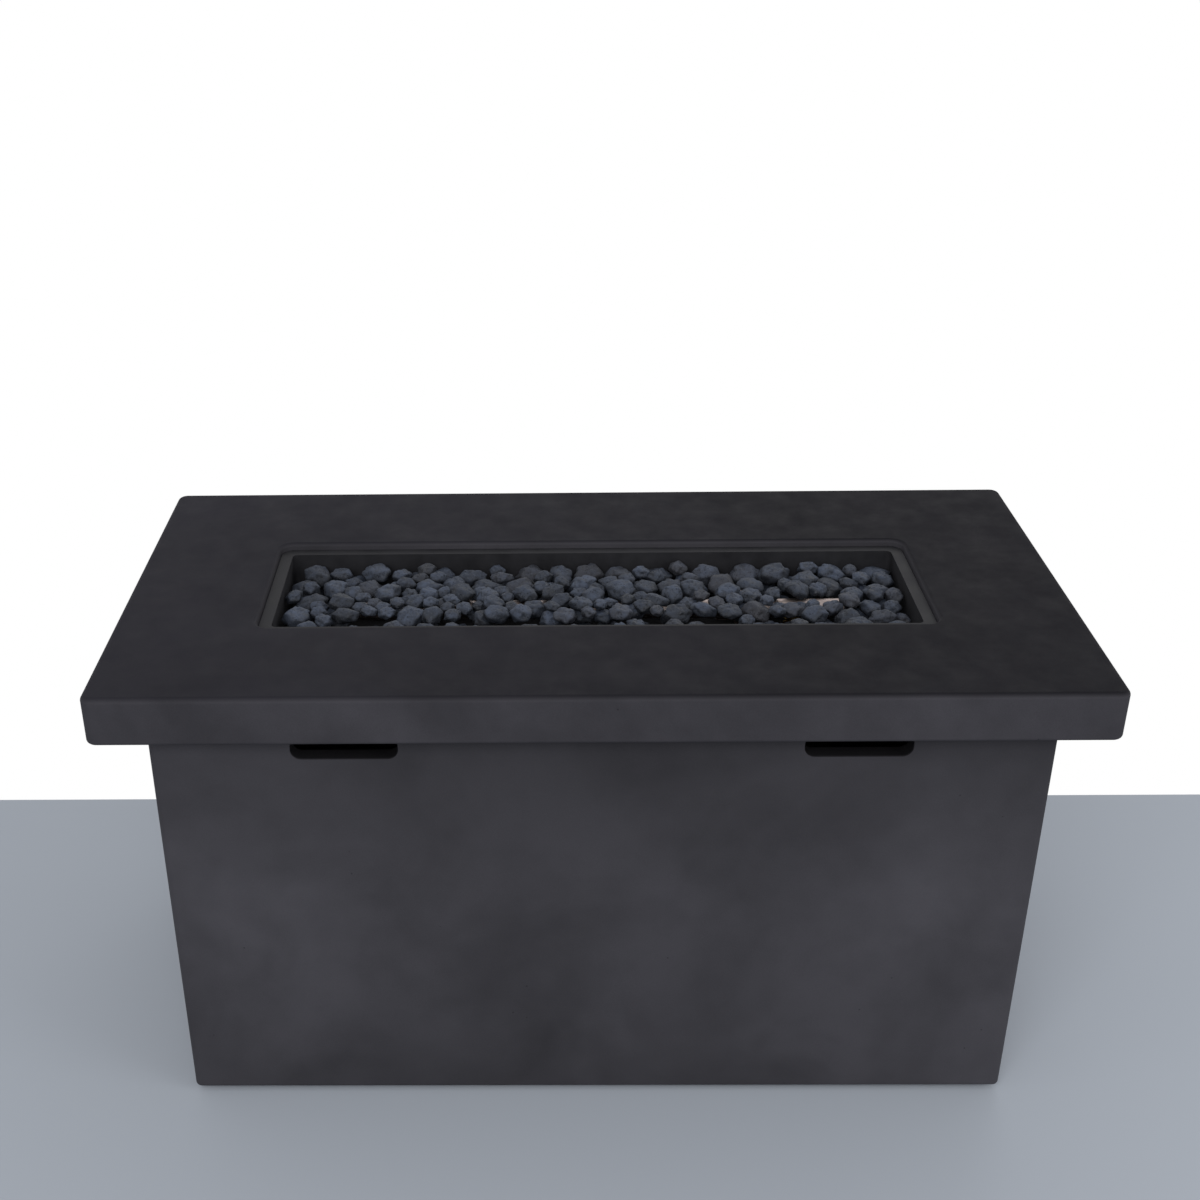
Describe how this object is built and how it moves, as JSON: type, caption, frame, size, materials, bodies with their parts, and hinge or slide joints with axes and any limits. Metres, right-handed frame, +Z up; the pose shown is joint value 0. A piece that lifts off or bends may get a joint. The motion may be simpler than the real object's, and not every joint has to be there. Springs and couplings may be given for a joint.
{
  "type": "fire pit table",
  "caption": "Rectangular cast concrete fire table with a gas burner under lava stones in its top, and a door and controls in the rear wall.",
  "frame": {"origin": "on the ground below the middle of the tabletop", "axes": "+X along the length to the right as seen from the front, front wall faces -Y, +Z up"},
  "size_m": [1.22, 0.6202, 0.635],
  "materials": {
    "slab_concrete": "matt sealed cast concrete, charcoal",
    "body_concrete": "matt cast concrete with soft cloudy blotches, charcoal",
    "zinc_steel": "zinc plated",
    "screw_steel": "bright",
    "stainless": "brushed",
    "pan_steel": "heat resistant black coating, satin",
    "burner_steel": "satin, tinted by heat",
    "braided_steel": "braided",
    "brass": "machined",
    "copper": "drawn copper",
    "black_paint": "textured powder coat",
    "black_plastic": "moulded",
    "foot_plastic": "moulded on a steel stem",
    "lead_sleeve": "silicone sleeve",
    "battery_can": "satin sleeve",
    "white_ceramic": "glazed",
    "lava_stone": "rounded, dark blue-grey"
  },
  "bodies": {
    "table": {"tabletop": "slab_concrete", "body_shell": "body_concrete", "top_brackets": "zinc_steel", "wall_screws": "screw_steel", "threaded_inserts": "brass", "corner_plates": "zinc_steel", "foot_lock_nuts": "screw_steel", "floor_shelf": "zinc_steel", "cylinder_ring": "zinc_steel", "door_frame": "black_paint", "magnet_catch": "black_plastic", "hinge_fixed_leaves": "black_paint", "hinge_pins": "screw_steel", "frame_screws": "screw_steel", "control_plate": "stainless", "control_bezel": "stainless", "valve_body": "brass", "valve_inlet_fitting": "brass", "valve_outlet_fitting": "brass", "valve_neck_nut": "brass", "igniter_body": "black_plastic", "igniter_nut": "black_plastic", "igniter_battery": "battery_can", "igniter_spring": "screw_steel", "burner_pan": "pan_steel", "burner_tube": "burner_steel", "burner_saddles": "burner_steel", "inlet_nipple": "brass", "inlet_lock_nut": "brass", "air_mixer": "brass", "orifice_elbow": "brass", "pilot_hood": "burner_steel", "spark_electrode": "white_ceramic", "thermocouple": "copper", "heat_shield": "zinc_steel", "shield_spacers": "zinc_steel", "shield_screws": "screw_steel", "gas_line": "braided_steel", "igniter_lead": "lead_sleeve", "thermocouple_lead": "copper", "base_rail_front": "black_paint", "base_rail_rear": "black_paint", "base_rail_left": "black_paint", "base_rail_right": "black_paint", "lava_stones_lower": "lava_stone", "lava_stones_upper": "lava_stone"},
    "door": {"door_panel": "black_paint", "hinge_moving_leaves": "black_paint", "strike_plate": "zinc_steel", "door_pull": "stainless", "door_screws": "screw_steel"},
    "valve_rotor": {"valve_plug": "brass"},
    "knob": {"valve_stem": "screw_steel", "control_knob": "black_plastic"},
    "igniter_button": {"igniter_cap": "black_plastic"},
    "foot_front_left": {"levelling_foot_front_left": "foot_plastic"},
    "foot_front_right": {"levelling_foot_front_right": "foot_plastic"},
    "foot_rear_left": {"levelling_foot_rear_left": "foot_plastic"},
    "foot_rear_right": {"levelling_foot_rear_right": "foot_plastic"}
  },
  "joints": [
    {"name": "door_hinge", "type": "hinge", "parent": "table", "child": "door", "pos_m": [-0.177, 0.2827, 0.275], "axis": [0, 0, 1], "range_deg": [0, 115]},
    {"name": "knob_turn", "type": "hinge", "parent": "table", "child": "valve_rotor", "pos_m": [0.31, 0.282, 0.418], "axis": [0, 1, 0], "range_deg": [0, 210]},
    {"name": "knob_push", "type": "slide", "parent": "valve_rotor", "child": "knob", "axis": [0, -1, 0], "range_m": [0, 0.004], "stiffness_N_per_m": 800, "springref_m": -0.002},
    {"name": "igniter_push", "type": "slide", "parent": "table", "child": "igniter_button", "axis": [0, -1, 0], "range_m": [0, 0.004], "stiffness_N_per_m": 600, "springref_m": -0.002},
    {"name": "foot_front_left_turn", "type": "hinge", "parent": "table", "child": "foot_front_left", "pos_m": [-0.474, -0.207, 0.02], "axis": [0, 0, 1], "continuous": true},
    {"name": "foot_front_right_turn", "type": "hinge", "parent": "table", "child": "foot_front_right", "pos_m": [0.474, -0.207, 0.02], "axis": [0, 0, 1], "continuous": true},
    {"name": "foot_rear_left_turn", "type": "hinge", "parent": "table", "child": "foot_rear_left", "pos_m": [-0.474, 0.207, 0.02], "axis": [0, 0, 1], "continuous": true},
    {"name": "foot_rear_right_turn", "type": "hinge", "parent": "table", "child": "foot_rear_right", "pos_m": [0.474, 0.207, 0.02], "axis": [0, 0, 1], "continuous": true}
  ]
}
